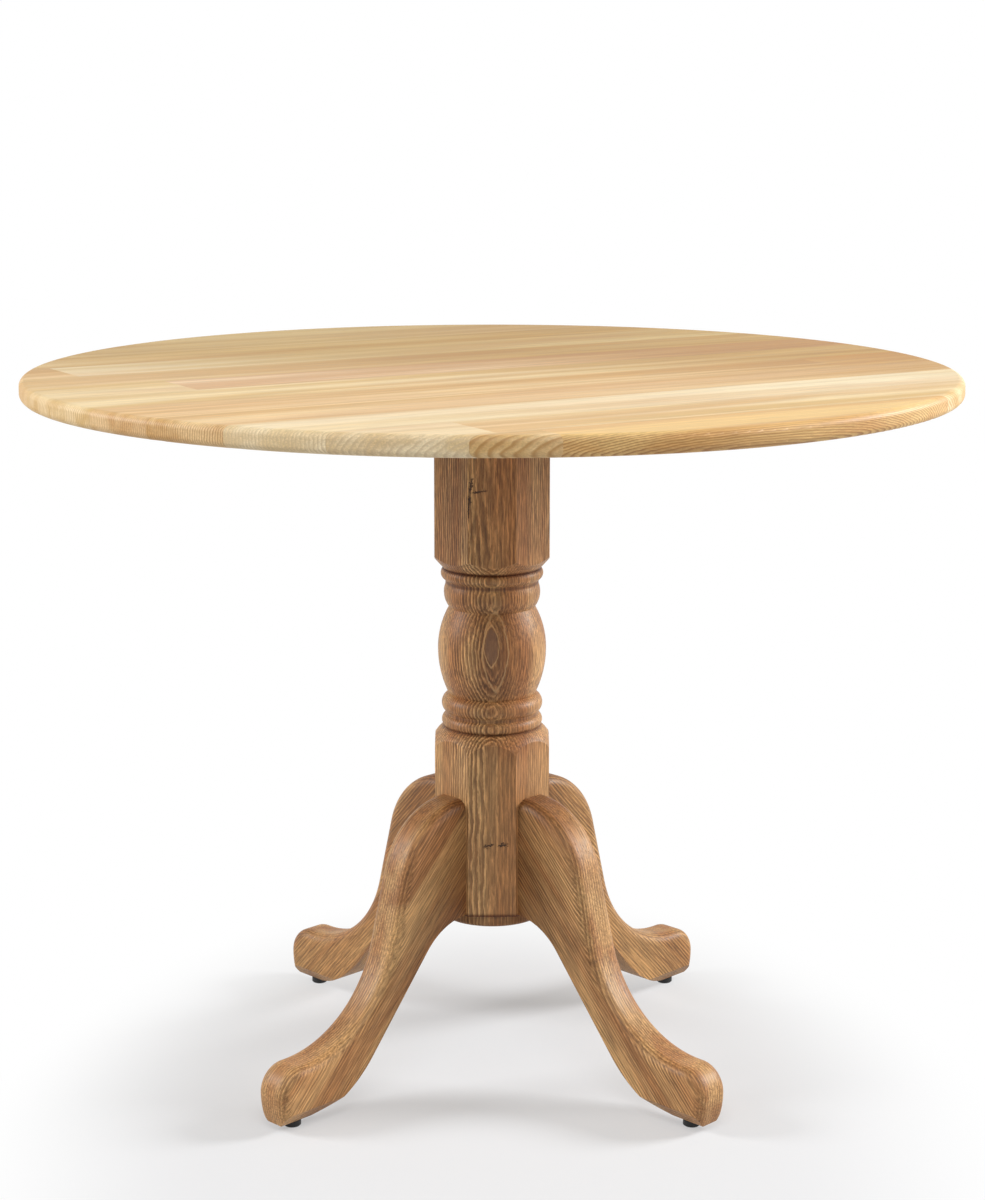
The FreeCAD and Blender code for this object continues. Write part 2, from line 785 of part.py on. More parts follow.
def makeLegFastenings():
    outward = Rotation(Vector(0, 1, 0), 90)

    def around(reach, heights):
        places = []
        for height in heights:
            places += aboutAxis(reach, height, outward)
        return places

    boltLength = columnFace + s.bolt_in_leg - s.bolt_tip_place
    bolt = cylinder("hanger_bolt", s.bolt_diameter, boltLength)
    bolts = group("leg_hanger_bolts", bolt, around(s.bolt_tip_place, boltHeights))
    turnAboutZ(bolts, legTurn)
    keep(bolts, "leg_hanger_bolts")

    boreRadius = s.bore_diameter / 2
    flat = boreRadius - s.saddle_thickness
    disc = cylinder("saddle_disc", s.saddle_diameter, boreRadius)
    placed(disc, (flat, zero, zero), outward)
    wall = cylinder("saddle_wall", s.bore_diameter, s.saddle_diameter)
    placed(wall, (zero, zero, -s.saddle_diameter / 2), Rotation())
    curved = doc.addObject("Part::Common", "saddle_blank")
    curved.Base = disc
    curved.Tool = wall
    hole = cylinder("saddle_hole", s.bolt_diameter + s.bolt_clearance * 2, s.bore_diameter)
    placed(hole, (zero, zero, zero), outward)
    saddle = cut("saddle_washer", curved, hole)
    saddlePlaces = []
    for height in boltHeights:
        saddlePlaces += aboutAxis(zero, height)
    saddles = group("leg_saddle_washers", saddle, saddlePlaces)
    turnAboutZ(saddles, legTurn)
    keep(saddles, "leg_saddle_washers")

    hexagon = doc.addObject("Part::Prism", "nut_hexagon")
    hexagon.Polygon = 6
    bind(hexagon, "Circumradius", s.nut_flats / (2 * math.cos(math.radians(30))))
    bind(hexagon, "Height", s.nut_height)
    thread = cylinder("nut_thread", s.bolt_diameter + s.wood_fit * 2, s.nut_height)
    nut = cut("hexagon_nut", hexagon, thread)
    nuts = group("leg_nuts", nut, around(flat - s.nut_height, boltHeights))
    turnAboutZ(nuts, legTurn)
    keep(nuts, "leg_nuts")

    dowel = cylinder("dowel", s.dowel_diameter, s.dowel_in_column + s.dowel_in_leg)
    dowels = group("leg_dowels", dowel, around(columnFace - s.dowel_in_column, [dowelHeight]))
    turnAboutZ(dowels, legTurn)
    keep(dowels, "leg_dowels")


# Levelling glides: insert in the sole, stem that turns in it, pad that swivels on the stem

def makeInserts():
    bore = (s.stem_diameter + s.glide_clearance * 2) / 2
    insert = turnedBody("glide_insert", [
        (bore, -s.flange_thickness),
        (s.flange_diameter / 2, -s.flange_thickness),
        (s.flange_diameter / 2, zero),
        (s.insert_diameter / 2, zero),
        (s.insert_diameter / 2, s.insert_length),
        (bore, s.insert_length),
    ])
    inserts = group("glide_inserts", insert, aboutAxis(glidePlace, soleHeight))
    turnAboutZ(inserts, legTurn)
    keep(inserts, "glide_inserts")


def makeGlide(name, turn):
    direction = math.radians(turn)
    place = (glidePlace * math.cos(direction), glidePlace * math.sin(direction), zero)
    collarTop = s.pad_floor + s.collar_height
    stemTop = s.pad_floor + s.stem_length
    stem = turnedBody("glide_stem_" + name, [
        (zero, s.pad_floor),
        (s.collar_diameter / 2, s.pad_floor),
        (s.collar_diameter / 2, collarTop),
        (s.stem_diameter / 2, collarTop),
        (s.stem_diameter / 2, stemTop - s.stem_tip),
        (s.stem_diameter / 2 - s.stem_tip, stemTop),
        (zero, stemTop),
    ])
    placed(stem, place, Rotation())
    keep(stem, "glide_stem_" + name)

    gap = s.glide_clearance
    rim = s.pad_diameter / 2
    glide = turnedBody("glide_pad_" + name, [
        (zero, zero),
        (rim - s.pad_edge, zero),
        (rim, s.pad_edge),
        (rim, s.pad_height),
        (s.stem_diameter / 2 + gap, s.pad_height),
        (s.stem_diameter / 2 + gap, collarTop + gap),
        (s.collar_diameter / 2 + gap, collarTop + gap),
        (s.collar_diameter / 2 + gap, s.pad_floor - gap),
        (zero, s.pad_floor - gap),
    ])
    placed(glide, place, Rotation())
    keep(glide, "glide_pad_" + name)


makeTabletop()
makeCrossBar("cross_bar_lower", 0, lapAbove=True)
makeCrossBar("cross_bar_upper", 90, lapAbove=False)
makeTopScrews()
makeLagScrews()
makeColumn()
makeEndCap()
for quarter, legName in enumerate(legNames):
    makeLeg("leg_" + legName, legTurn + 90 * quarter)
makeLegFastenings()
makeInserts()
for quarter, legName in enumerate(legNames):
    makeGlide(legName, legTurn + 90 * quarter)
doc.recompute()

failed = [thing.Label for thing in doc.Objects if "Invalid" in thing.State or "Error" in thing.State]
if failed:
    raise RuntimeError("failed objects: %s" % ", ".join(failed))
for part in parts:
    if part.Shape.isNull() or not part.Shape.isValid():
        raise RuntimeError("bad shape: %s" % part.Label)

os.makedirs("parts", exist_ok=True)
for part in parts:
    part.Shape.exportStep("parts/%s.step" % part.Label)
    print("%-24s solids %2d  volume %10.1f" % (part.Label, len(part.Shape.Solids), part.Shape.Volume))
print("nodes: %d" % len(parts))
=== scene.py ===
import math

import bpy
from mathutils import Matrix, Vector

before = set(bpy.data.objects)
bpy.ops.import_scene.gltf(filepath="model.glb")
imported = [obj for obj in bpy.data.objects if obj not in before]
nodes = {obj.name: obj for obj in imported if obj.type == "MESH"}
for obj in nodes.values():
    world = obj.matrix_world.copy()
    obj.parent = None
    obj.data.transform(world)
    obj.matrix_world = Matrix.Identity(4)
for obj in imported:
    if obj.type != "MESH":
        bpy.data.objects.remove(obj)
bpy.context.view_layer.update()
scene = bpy.context.scene
print("loaded", len(nodes), "pieces of the table")


def shade(red, green, blue):
    # 0 to 255 as seen on screen, to the linear values that shaders use
    def linear(level):
        level = level / 255
        return level / 12.92 if level <= 0.04045 else ((level + 0.055) / 1.055) ** 2.4
    return (linear(red), linear(green), linear(blue), 1.0)


def dress(name, material):
    mesh = nodes[name].data
    mesh.materials.clear()
    mesh.materials.append(material)


# Camera: a little over a metre above the floor, looking 8 degrees down
cameraSetup = {
    "place": (0.0, -2.6535, 1.0710),
    "pitch": 8.0,
    "lens": 74.586,
    "sensorWidth": 36.0,
    "shift": (0.0004, -0.143),
}


def makeCamera(setup):
    data = bpy.data.cameras.new("camera")
    data.lens = setup["lens"]
    data.sensor_width = setup["sensorWidth"]
    data.shift_x, data.shift_y = setup["shift"]
    camera = bpy.data.objects.new("camera", data)
    camera.location = setup["place"]
    camera.rotation_euler = (math.radians(90 - setup["pitch"]), 0, 0)
    scene.collection.objects.link(camera)
    scene.camera = camera


# Node graphs are built through this small helper, so that each material reads as one recipe
class Recipe:
    def __init__(self, name):
        self.material = bpy.data.materials.new(name)
        self.material.use_nodes = True
        self.tree = self.material.node_tree
        self.tree.nodes.clear()

    def add(self, kind, inputs=None, **settings):
        node = self.tree.nodes.new("ShaderNode" + kind)
        for name, value in settings.items():
            setattr(node, name, value)
        for name, value in (inputs or {}).items():
            self.feed(node.inputs[name], value)
        return node

    def feed(self, socket, value):
        if isinstance(value, bpy.types.NodeSocket):
            self.tree.links.new(value, socket)
        else:
            socket.default_value = value

    def place(self):
        return self.add("TexCoord").outputs["Object"]

    def math(self, operation, *values):
        node = self.add("Math", operation=operation)
        for socket, value in zip(node.inputs, values):
            self.feed(socket, value)
        return node.outputs[0]

    def distance(self, value, middle):
        return self.math("ABSOLUTE", self.math("SUBTRACT", value, middle))

    def turned(self, vector, degrees):
        angles = [math.radians(angle) for angle in degrees]
        return self.add("Mapping", {"Vector": vector, "Rotation": angles}).outputs[0]

    def stretched(self, vector, scale):
        return self.add("Mapping", {"Vector": vector, "Scale": scale}).outputs[0]

    def shifted(self, vector, seed, shares):
        shift = [seed * share for share in shares]
        return self.add("Mapping", {"Vector": vector, "Location": shift}).outputs[0]

    def noise(self, vector, detail=3.0, roughness=0.55, distortion=0.0):
        return self.add("TexNoise", {
            "Vector": vector,
            "Scale": 1.0,
            "Detail": detail,
            "Roughness": roughness,
            "Distortion": distortion,
        }).outputs["Fac"]

    def levels(self, value, low, high, outLow=0.0, outHigh=1.0):
        return self.add("MapRange", {
            "Value": value,
            "From Min": low,
            "From Max": high,
            "To Min": outLow,
            "To Max": outHigh,
        }, interpolation_type="SMOOTHSTEP").outputs[0]

    def ramp(self, value, stops):
        node = self.add("ValToRGB", {"Fac": value})
        elements = node.color_ramp.elements
        while len(elements) < len(stops):
            elements.new(1.0)
        for element, (place, level) in zip(elements, stops):
            element.position = place
            element.color = (level, level, level, 1.0)
        return node.outputs["Color"]

    # The node has sockets for numbers and vectors too: its colours are inputs 6 and 7 and output 2
    def mix(self, factor, first, second, blend="MIX"):
        node = self.add("Mix", data_type="RGBA", blend_type=blend)
        self.feed(node.inputs[0], factor)
        self.feed(node.inputs[6], first)
        self.feed(node.inputs[7], second)
        return node.outputs[2]

    def split(self, vector):
        return self.add("SeparateXYZ", {"Vector": vector}).outputs

    def finish(self, color, roughness, height, bumpDepth, specular=0.5, metallic=0.0):
        bump = self.add("Bump", {"Height": height, "Strength": 1.0, "Distance": bumpDepth})
        surface = self.add("BsdfPrincipled", {
            "Base Color": color,
            "Roughness": roughness,
            "Normal": bump.outputs[0],
            "Specular IOR Level": specular,
            "Metallic": metallic,
        })
        self.add("OutputMaterial", {"Surface": surface.outputs[0]})
        return self.material


# What all the woods here share: a scale is in waves per metre along and across the grain
woodDetail = {
    "wanderShift": (1.0, 0.7, 0.0),
    "wanderDetail": 5.0,
    "unevenScale": (2.0, 60.0, 60.0),
    "strengthScale": (1.2, 22.0, 22.0),
    "strengthRange": (0.3, 0.7),
    "bandShift": (3.0, 1.0, 0.0),
    "bandRange": (0.36, 0.64),
    "tintShift": (1.0, 2.0, 1.0),
    "tintRange": (0.42, 0.7),
    "fibreRange": (0.3, 0.72),
    "fibreGlow": 0.5,
    "fibreRelief": 0.5,
    "poreFade": 0.09,
    "poreRelief": 0.8,
    "roughRange": (0.2, 0.8),
    "roughDrop": 0.05,
    "roughRise": 0.08,
}


# Rings round a pith line that leans along the grain: y and z are measured across the grain
def ringReach(recipe, x, y, z, look):
    leanY, leanZ = look["lean"]
    pithY, pithZ = look["pith"]
    across = recipe.math("MULTIPLY_ADD", x, leanY, recipe.math("SUBTRACT", y, pithY))
    upward = recipe.math("MULTIPLY_ADD", x, leanZ, recipe.math("SUBTRACT", z, pithZ))
    square = recipe.math("MULTIPLY_ADD", across, across, recipe.math("MULTIPLY", upward, upward))
    return recipe.math("SQRT", square)


# Rings folded over the middle of a piece, so that flat faces show straight lines and swellings show ovals
def foldReach(recipe, depth, side, look):
    aside = recipe.math("SUBTRACT", side, look["foldCentre"])
    away = recipe.math("SQRT", recipe.math("MULTIPLY_ADD", aside, aside, look["foldSoftness"] ** 2))
    reach = recipe.math("MULTIPLY_ADD", away, -look["fold"], depth)
    return recipe.math("MULTIPLY_ADD", aside, -look["foldSlant"], reach)


# Growth rings as lines, 0 in early wood and 1 in late wood
def ringLines(recipe, grain, reach, look):
    wander = recipe.shifted(grain, look["seed"], woodDetail["wanderShift"])
    wander = recipe.stretched(wander, look["wanderScale"])
    bend = recipe.noise(wander, woodDetail["wanderDetail"], look["wanderRoughness"])
    bend = recipe.math("MULTIPLY_ADD", bend, look["wander"] * 2, -look["wander"])
    uneven = recipe.noise(recipe.stretched(grain, woodDetail["unevenScale"]), detail=2.0, roughness=0.6)
    reach = recipe.math("SUBTRACT", recipe.math("ADD", reach, bend), look["ringStart"])
    phase = recipe.math("DIVIDE", reach, look["ringSpacing"])
    phase = recipe.math("MULTIPLY_ADD", uneven, look["ringUneven"], phase)
    return recipe.ramp(recipe.math("FRACT", phase), look["ringShape"])


# Solid wood: bands, tints, growth rings, fibres and pores along x
def growWood(recipe, grain, ring, look):
    seed = look["seed"]
    strength = recipe.noise(recipe.stretched(grain, woodDetail["strengthScale"]), detail=2.0)
    strength = recipe.levels(strength, *woodDetail["strengthRange"], look["ringFaint"], 1.0)
    ring = recipe.math("MULTIPLY", ring, strength)
    fibre = recipe.noise(recipe.stretched(grain, look["fibreScale"]), detail=4.0, roughness=0.65)
    band = recipe.shifted(recipe.stretched(grain, look["bandScale"]), seed, woodDetail["bandShift"])
    band = recipe.noise(band, detail=3.0, roughness=0.5, distortion=0.4)
    tint = recipe.shifted(recipe.stretched(grain, look["tintScale"]), seed, woodDetail["tintShift"])
    tint = recipe.noise(tint, detail=2.0, roughness=0.5, distortion=0.3)
    pore = recipe.noise(recipe.stretched(grain, look["poreScale"]), detail=1.0, roughness=0.5)
    pore = recipe.levels(pore, look["poreLevel"], look["poreLevel"] + woodDetail["poreFade"])

    color = recipe.mix(recipe.levels(band, *woodDetail["bandRange"]), look["pale"], look["warm"])
    tinted = recipe.math("MULTIPLY", recipe.levels(tint, *woodDetail["tintRange"]), look["tintStrength"])
    color = recipe.mix(tinted, color, look["tint"])
    color = recipe.mix(recipe.math("MULTIPLY", ring, look["ringContrast"]), color, look["late"])
    darkest = 1.0 - look["fibreContrast"]
    brightest = 1.0 + look["fibreContrast"] * woodDetail["fibreGlow"]
    fibreTone = recipe.levels(fibre, *woodDetail["fibreRange"], darkest, brightest)
    color = recipe.mix(1.0, color, fibreTone, "MULTIPLY")
    color = recipe.mix(recipe.math("MULTIPLY", pore, look["poreContrast"]), color, look["poreColor"])

    raised = recipe.math("MULTIPLY", fibre, woodDetail["fibreRelief"])
    relief = recipe.math("SUBTRACT", raised, recipe.math("MULTIPLY", pore, woodDetail["poreRelief"]))
    smoothest = look["roughness"] - woodDetail["roughDrop"]
    roughest = look["roughness"] + woodDetail["roughRise"]
    rough = recipe.levels(fibre, *woodDetail["roughRange"], smoothest, roughest)
    return color, rough, relief


# Tabletop: each stave has its own tone, ring direction and ring spacing, and a painted shade darkens the
# back half
topFinish = {
    "slant": 31.0,
    "staveWidth": 0.084,
    "firstGlueLine": 0.418,
    "height": 0.762,
    "seedStart": 0.11,
    "seedStep": 0.37,
    "pithDistance": 0.11,
    "leanReach": (0.035, 0.03),
    "leanStep": (2.3, 1.7),
    "rimDepth": 0.004,
    "rimDark": 0.08,
    "rimLines": 0.6,
    "ringStart": 0.0,
    "ringUneven": 0.9,
    "ringFaint": 0.4,
    "ringShape": [(0.0, 0.7), (0.12, 0.0), (0.55, 0.2), (0.9, 1.0), (1.0, 0.7)],
    "wander": 0.006,
    "wanderScale": (2.0, 10.0, 10.0),
    "wanderRoughness": 0.66,
    "fibreScale": (14.0, 700.0, 700.0),
    "fibreContrast": 0.2,
    "bandScale": (1.3, 32.0, 32.0),
    "tintScale": (2.2, 11.0, 11.0),
    "tint": shade(214, 172, 124),
    "tintStrength": 0.5,
    "poreScale": (45.0, 1500.0, 1500.0),
    "poreLevel": 0.66,
    "poreContrast": 0.35,
    "poreColor": shade(166, 122, 76),
    "roughness": 0.5,
    "specular": 0.3,
    "bumpDepth": 0.00005,
    # painted shade: darker towards the back of the tabletop, from front to back over this range in metres
    "backShadeRange": (-0.12, 0.18),
    "backTone": shade(219, 204, 168),
    "glueLine": shade(150, 108, 66),
    "glueWidth": 0.0005,
    "glueStrength": 0.35,
}

# Pale, warm and late wood of each tone
topTones = {
    "cream": (shade(243, 225, 187), shade(224, 197, 147), shade(204, 178, 140)),
    "wheat": (shade(240, 216, 167), shade(214, 179, 117), shade(174, 130, 76)),
    "honey": (shade(238, 207, 154), shade(208, 165, 103), shade(166, 116, 64)),
    "blush": (shade(237, 207, 167), shade(213, 170, 123), shade(176, 132, 88)),
    "chestnut": (shade(234, 198, 132), shade(216, 170, 106), shade(154, 100, 54)),
}

# Tone, ring direction in degrees from flat-sawn, ring spacing and how strongly the rings show
staveLooks = {
    "top_stave_01_left": ("wheat", 48, 0.0056, 0.85),
    "top_stave_01_right": ("chestnut", 40, 0.0021, 0.4),
    "top_stave_02_left": ("cream", 52, 0.0046, 0.6),
    "top_stave_02_right": ("wheat", 60, 0.0040, 0.5),
    "top_stave_03": ("cream", 82, 0.0030, 0.4),
    "top_stave_04": ("honey", 86, 0.0026, 0.5),
    "top_stave_05_left": ("honey", 84, 0.0026, 0.5),
    "top_stave_05_right": ("chestnut", 50, 0.0040, 0.45),
    "top_stave_06": ("wheat", 75, 0.0036, 0.55),
    "top_stave_07_left": ("wheat", 80, 0.0042, 0.6),
    "top_stave_07_right": ("blush", 30, 0.0042, 0.4),
    "top_stave_08": ("wheat", 72, 0.0044, 0.6),
    "top_stave_09_left": ("honey", 60, 0.0046, 0.6),
    "top_stave_09_right": ("cream", 35, 0.0044, 0.4),
    "top_stave_10": ("wheat", 65, 0.0036, 0.5),
    "top_stave_11": ("cream", 50, 0.0040, 0.5),
    "top_stave_12": ("cream", 70, 0.0036, 0.5),
}


def staveLook(setup, order, low, tone, ringTurn, ringSpacing, ringContrast):
    middle = low + setup["staveWidth"] / 2
    turn = math.radians(ringTurn)
    away = setup["pithDistance"]
    reachY, reachZ = setup["leanReach"]
    stepY, stepZ = setup["leanStep"]
    look = dict(setup)
    look["pale"], look["warm"], look["late"] = tone
    look["seed"] = setup["seedStep"] * order + setup["seedStart"]
    look["ringSpacing"] = ringSpacing
    look["ringContrast"] = ringContrast
    look["pith"] = (middle - away * math.sin(turn), setup["height"] - away * math.cos(turn))
    look["lean"] = (reachY * math.sin(order * stepY), reachZ * math.cos(order * stepZ))
    return look


def finishTabletop(setup, tones, looks):
    for order, (name, (tone, *rings)) in enumerate(sorted(looks.items())):
        recipe = Recipe(name)
        number = int(name.split("_")[2])
        low = setup["staveWidth"] * (number - 2) - setup["firstGlueLine"]  # that line parts staves 1 and 2
        look = staveLook(setup, order, low, tones[tone], *rings)
        place = recipe.place()
        grain = recipe.turned(place, (0, 0, -setup["slant"]))
        x, y, z = recipe.split(grain)
        ring = ringLines(recipe, grain, ringReach(recipe, x, y, z, look), look)
        color, rough, relief = growWood(recipe, grain, ring, look)
        # painted shade darkens the back of each stave
        behind = recipe.levels(recipe.split(place)[1], *setup["backShadeRange"])
        color = recipe.mix(behind, color, setup["backTone"], "MULTIPLY")
        edge = recipe.math("PINGPONG", recipe.math("SUBTRACT", y, low), setup["staveWidth"] / 2)
        line = recipe.levels(edge, 0.0, setup["glueWidth"], setup["glueStrength"], 0.0)
        color = recipe.mix(line, color, setup["glueLine"])
        below = recipe.levels(z, setup["height"] - setup["rimDepth"], setup["height"], 1.0, 0.0)
        lines = recipe.math("MULTIPLY_ADD", ring, setup["rimLines"], setup["rimDark"])
        color = recipe.mix(recipe.math("MULTIPLY", below, lines), color, look["late"])
        dress(name, recipe.finish(color, rough, relief, setup["bumpDepth"], setup["specular"]))


# Base: browner wood, with the grain up the column and straight down each leg
baseFinish = {
    "pale": shade(226, 183, 120),
    "warm": shade(192, 140, 82),
    "late": shade(100, 61, 32),
    "wanderRoughness": 0.55,
    "ringUneven": 0.5,
    "ringFaint": 0.4,
    "ringShape": [(0.0, 0.0), (0.14, 0.05), (0.38, 0.7), (0.75, 1.0), (0.9, 0.7), (1.0, 0.0)],
    "fibreScale": (16.0, 620.0, 620.0),
    "fibreContrast": 0.4,
    "bandScale": (1.6, 34.0, 34.0),
    "tintScale": (5.0, 16.0, 16.0),
    "poreScale": (40.0, 1100.0, 1100.0),
    "poreLevel": 0.62,
    "poreContrast": 0.55,
    "poreColor": shade(92, 57, 34),
    "roughness": 0.46,
    "specular": 0.3,
    "bumpDepth": 0.00018,
}

# Column and cap: folded rings, an oval eye on the urn with a darker heart that is partly painted shade, a
# few small cracks, painted shade in the creases and painted light on the lower column
columnFigure = {
    "pale": shade(230, 182, 124),
    "warm": shade(196, 138, 86),
    "seed": 2.3,
    "fold": 1.0,
    "foldCentre": 0.001,
    "foldSoftness": 0.008,
    "foldSlant": 0.12,
    "ringStart": 0.0490,
    "ringSpacing": 0.0045,
    "ringContrast": 0.9,
    "ringFaint": 0.45,
    "ringUneven": 1.1,
    "wander": 0.0075,
    "wanderScale": (11.0, 36.0, 36.0),
    "wanderRoughness": 0.68,
    "fibreScale": (42.0, 560.0, 560.0),
    "fibreContrast": 0.54,
    "tint": shade(166, 104, 62),
    "tintStrength": 0.55,
    # partly painted shade: a grey-brown heart round the eye, on the front only, that also darkens the urn's
    # front
    "heartAndFrontShade": shade(146, 96, 68),
    "heartAndFrontShadeSide": (0.0104, 0.026),
    "heartAndFrontShadeHeight": 0.462,
    "heartAndFrontShadeReach": (0.04, 0.075),
    "heartAndFrontShadeStrength": 0.36,
    # painted light: the column below about 0.35 m is made paler
    "lowerPaintedLightRange": (0.335, 0.365),
    "lowerPaintedLight": 0.15,
    "eyeLift": 0.013,
    "eyeRange": (0.345, 0.515),
    "eyePale": shade(216, 172, 122),
    "eyeCore": shade(132, 99, 76),
    "eyeScale": (110.0, 110.0, 60.0),
    "eyeRugged": 0.5,
    "eyePoint": 1.5,
    "eyeLine": 0.13,
    "eyeFade": (0.6, 1.0),
    # side, height, half width and half height in metres, then how strongly line and core show
    "eyes": [
        (0.0035, 0.4640, 0.0141, 0.0427, 0.6, 0.15),
        (-0.0007, 0.4705, 0.0084, 0.0230, 0.75, 0.75),
    ],
    "crackColor": shade(52, 33, 21),
    "crackScale": (420.0, 420.0, 420.0),
    "crackRugged": 5.0,
    "crackFade": (0.3, 1.3),
    "crackStrength": 0.9,
    # side, height, half length and half width in metres, turn in degrees
    "cracks": [
        (-0.0222, 0.6460, 0.0095, 0.0016, 82),
        (-0.0130, 0.6390, 0.0090, 0.0010, 9),
        (-0.0236, 0.6300, 0.0060, 0.0015, 98),
        (-0.0250, 0.6180, 0.0120, 0.0008, 90),
        (-0.0035, 0.2522, 0.0065, 0.0019, 14),
        (0.0120, 0.2532, 0.0068, 0.0020, 7),
    ],
    "creaseShadeTone": shade(128, 92, 68),
    # height and half width in metres, then strength of the painted shade: over the cap, in the joint above
    # it and beside the turned beads
    "creaseShades": [
        (0.1590, 0.0220, 0.5),
        (0.1732, 0.0042, 0.95),
        (0.3720, 0.0030, 0.75),
        (0.3862, 0.0034, 0.45),
        (0.5312, 0.0036, 0.7),
        (0.5465, 0.0032, 0.95),
    ],
}


# Noise about zero that roughens an outline
def ruggedness(recipe, scale, amount):
    rugged = recipe.noise(recipe.stretched(recipe.place(), scale), detail=3.0)
    return recipe.math("MULTIPLY_ADD", rugged, amount, -amount / 2)


def drawCracks(recipe, side, height, front, figure):
    rugged = ruggedness(recipe, figure["crackScale"], figure["crackRugged"])
    deepest = 0.0
    for middle, level, halfLength, halfWidth, turn in figure["cracks"]:
        cosine = math.cos(math.radians(turn))
        sine = math.sin(math.radians(turn))
        right = recipe.math("SUBTRACT", side, middle)
        up = recipe.math("SUBTRACT", height, level)
        along = recipe.math("MULTIPLY", right, cosine / halfLength)
        along = recipe.math("MULTIPLY_ADD", up, sine / halfLength, along)
        across = recipe.math("MULTIPLY", right, -sine / halfWidth)
        across = recipe.math("MULTIPLY_ADD", up, cosine / halfWidth, across)
        across = recipe.math("ADD", across, rugged)
        spread = recipe.math("MULTIPLY_ADD", across, across, recipe.math("MULTIPLY", along, along))
        crack = recipe.levels(spread, *figure["crackFade"], figure["crackStrength"], 0.0)
        deepest = recipe.math("MAXIMUM", deepest, crack)
    return recipe.math("MULTIPLY", deepest, front)


# Painted shade: the wood is darkened in bands in the creases of the turning and over the cap
def drawCreaseShades(recipe, color, height, figure):
    deepest = 0.0
    for level, halfWidth, strength in figure["creaseShades"]:
        creaseShade = recipe.levels(recipe.distance(height, level), 0.0, halfWidth, strength, 0.0)
        deepest = recipe.math("MAXIMUM", deepest, creaseShade)
    return recipe.mix(deepest, color, figure["creaseShadeTone"], "MULTIPLY")


def drawEyes(recipe, color, side, height, front, figure):
    rugged = ruggedness(recipe, figure["eyeScale"], figure["eyeRugged"])
    for middle, level, halfWidth, halfHeight, lineStrength, coreStrength in figure["eyes"]:
        reach = rugged
        for value, centre, half in ((side, middle, halfWidth), (height, level, halfHeight)):
            away = recipe.math("DIVIDE", recipe.distance(value, centre), half)
            reach = recipe.math("ADD", reach, recipe.math("POWER", away, figure["eyePoint"]))
        core = recipe.levels(reach, *figure["eyeFade"], coreStrength, 0.0)
        color = recipe.mix(recipe.math("MULTIPLY", core, front), color, figure["eyeCore"])
        line = recipe.levels(recipe.distance(reach, 1.0), 0.0, figure["eyeLine"], lineStrength, 0.0)
        color = recipe.mix(recipe.math("MULTIPLY", line, front), color, figure["eyePale"])
    return color


def finishColumn(setup, figure):
    recipe = Recipe("columnWood")
    look = dict(setup)
    look.update(figure)
    place = recipe.place()
    side, behind, height = recipe.split(place)
    depth = recipe.math("MULTIPLY", behind, -1.0)
    front = recipe.math("GREATER_THAN", depth, 0.0)
    grain = recipe.turned(place, (0, 90, 0))
    lift = recipe.levels(height, *figure["eyeRange"], 0.0, figure["eyeLift"])
    reach = recipe.math("ADD", foldReach(recipe, depth, side, look), lift)
    ring = ringLines(recipe, grain, reach, look)
    color, rough, relief = growWood(recipe, grain, ring, look)

    # a darker heart round the eye on the urn's front, partly wood figure and partly painted shade
    aside = recipe.math("ABSOLUTE", side)
    heartAndFrontShade = recipe.levels(aside, *figure["heartAndFrontShadeSide"], figure["heartAndFrontShadeStrength"], 0.0)
    upward = recipe.distance(height, figure["heartAndFrontShadeHeight"])
    heartAndFrontShade = recipe.math("MULTIPLY", heartAndFrontShade, recipe.levels(upward, *figure["heartAndFrontShadeReach"], 1.0, 0.0))
    color = recipe.mix(recipe.math("MULTIPLY", heartAndFrontShade, front), color, figure["heartAndFrontShade"], "MULTIPLY")
    # painted light on the lower column
    below = recipe.levels(height, *figure["lowerPaintedLightRange"], figure["lowerPaintedLight"], 0.0)
    color = recipe.mix(below, color, figure["pale"])
    color = drawEyes(recipe, color, side, height, front, figure)
    # painted shade in the creases
    color = drawCreaseShades(recipe, color, height, figure)
    crack = drawCracks(recipe, side, height, front, figure)
    color = recipe.mix(crack, color, figure["crackColor"])
    relief = recipe.math("SUBTRACT", relief, crack)
    material = recipe.finish(color, rough, relief, setup["bumpDepth"], setup["specular"])
    for name in ("pedestal_column", "end_cap"):
        dress(name, material)


# Legs: slanted lines on the side faces, flecks on the upper ones, and painted shade by the column and on
# the back legs
legFigure = {
    "pale": shade(217, 172, 116),
    "warm": shade(183, 130, 82),
    "seedStart": 0.4,
    "seedStep": 1.7,
    "grainFall": 46.0,
    "ringStart": 0.0,
    "ringSpacing": 0.0034,
    "ringContrast": 0.66,
    "ringUneven": 0.8,
    "wander": 0.0026,
    "wanderScale": (7.0, 20.0, 20.0),
    "wanderRoughness": 0.6,
    "bandScale": (5.0, 42.0, 42.0),
    "fibreScale": (34.0, 560.0, 560.0),
    "fibreContrast": 0.46,
    "tint": shade(206, 151, 96),
    "tintStrength": 0.5,
    "upperDrift": 0.05,
    "sideRange": (0.7, 0.92),
    # painted shade: the legs are darker near the column
    "rootShadeTone": shade(215, 205, 194),
    "rootShadeReach": (0.060, 0.145),
    # painted shade: the back legs are darker
    "backTone": shade(243, 238, 230),
}

# Direction of each leg in degrees from X
legTurns = {"back_right": 45.0, "back_left": 135.0, "front_left": 225.0, "front_right": 315.0}


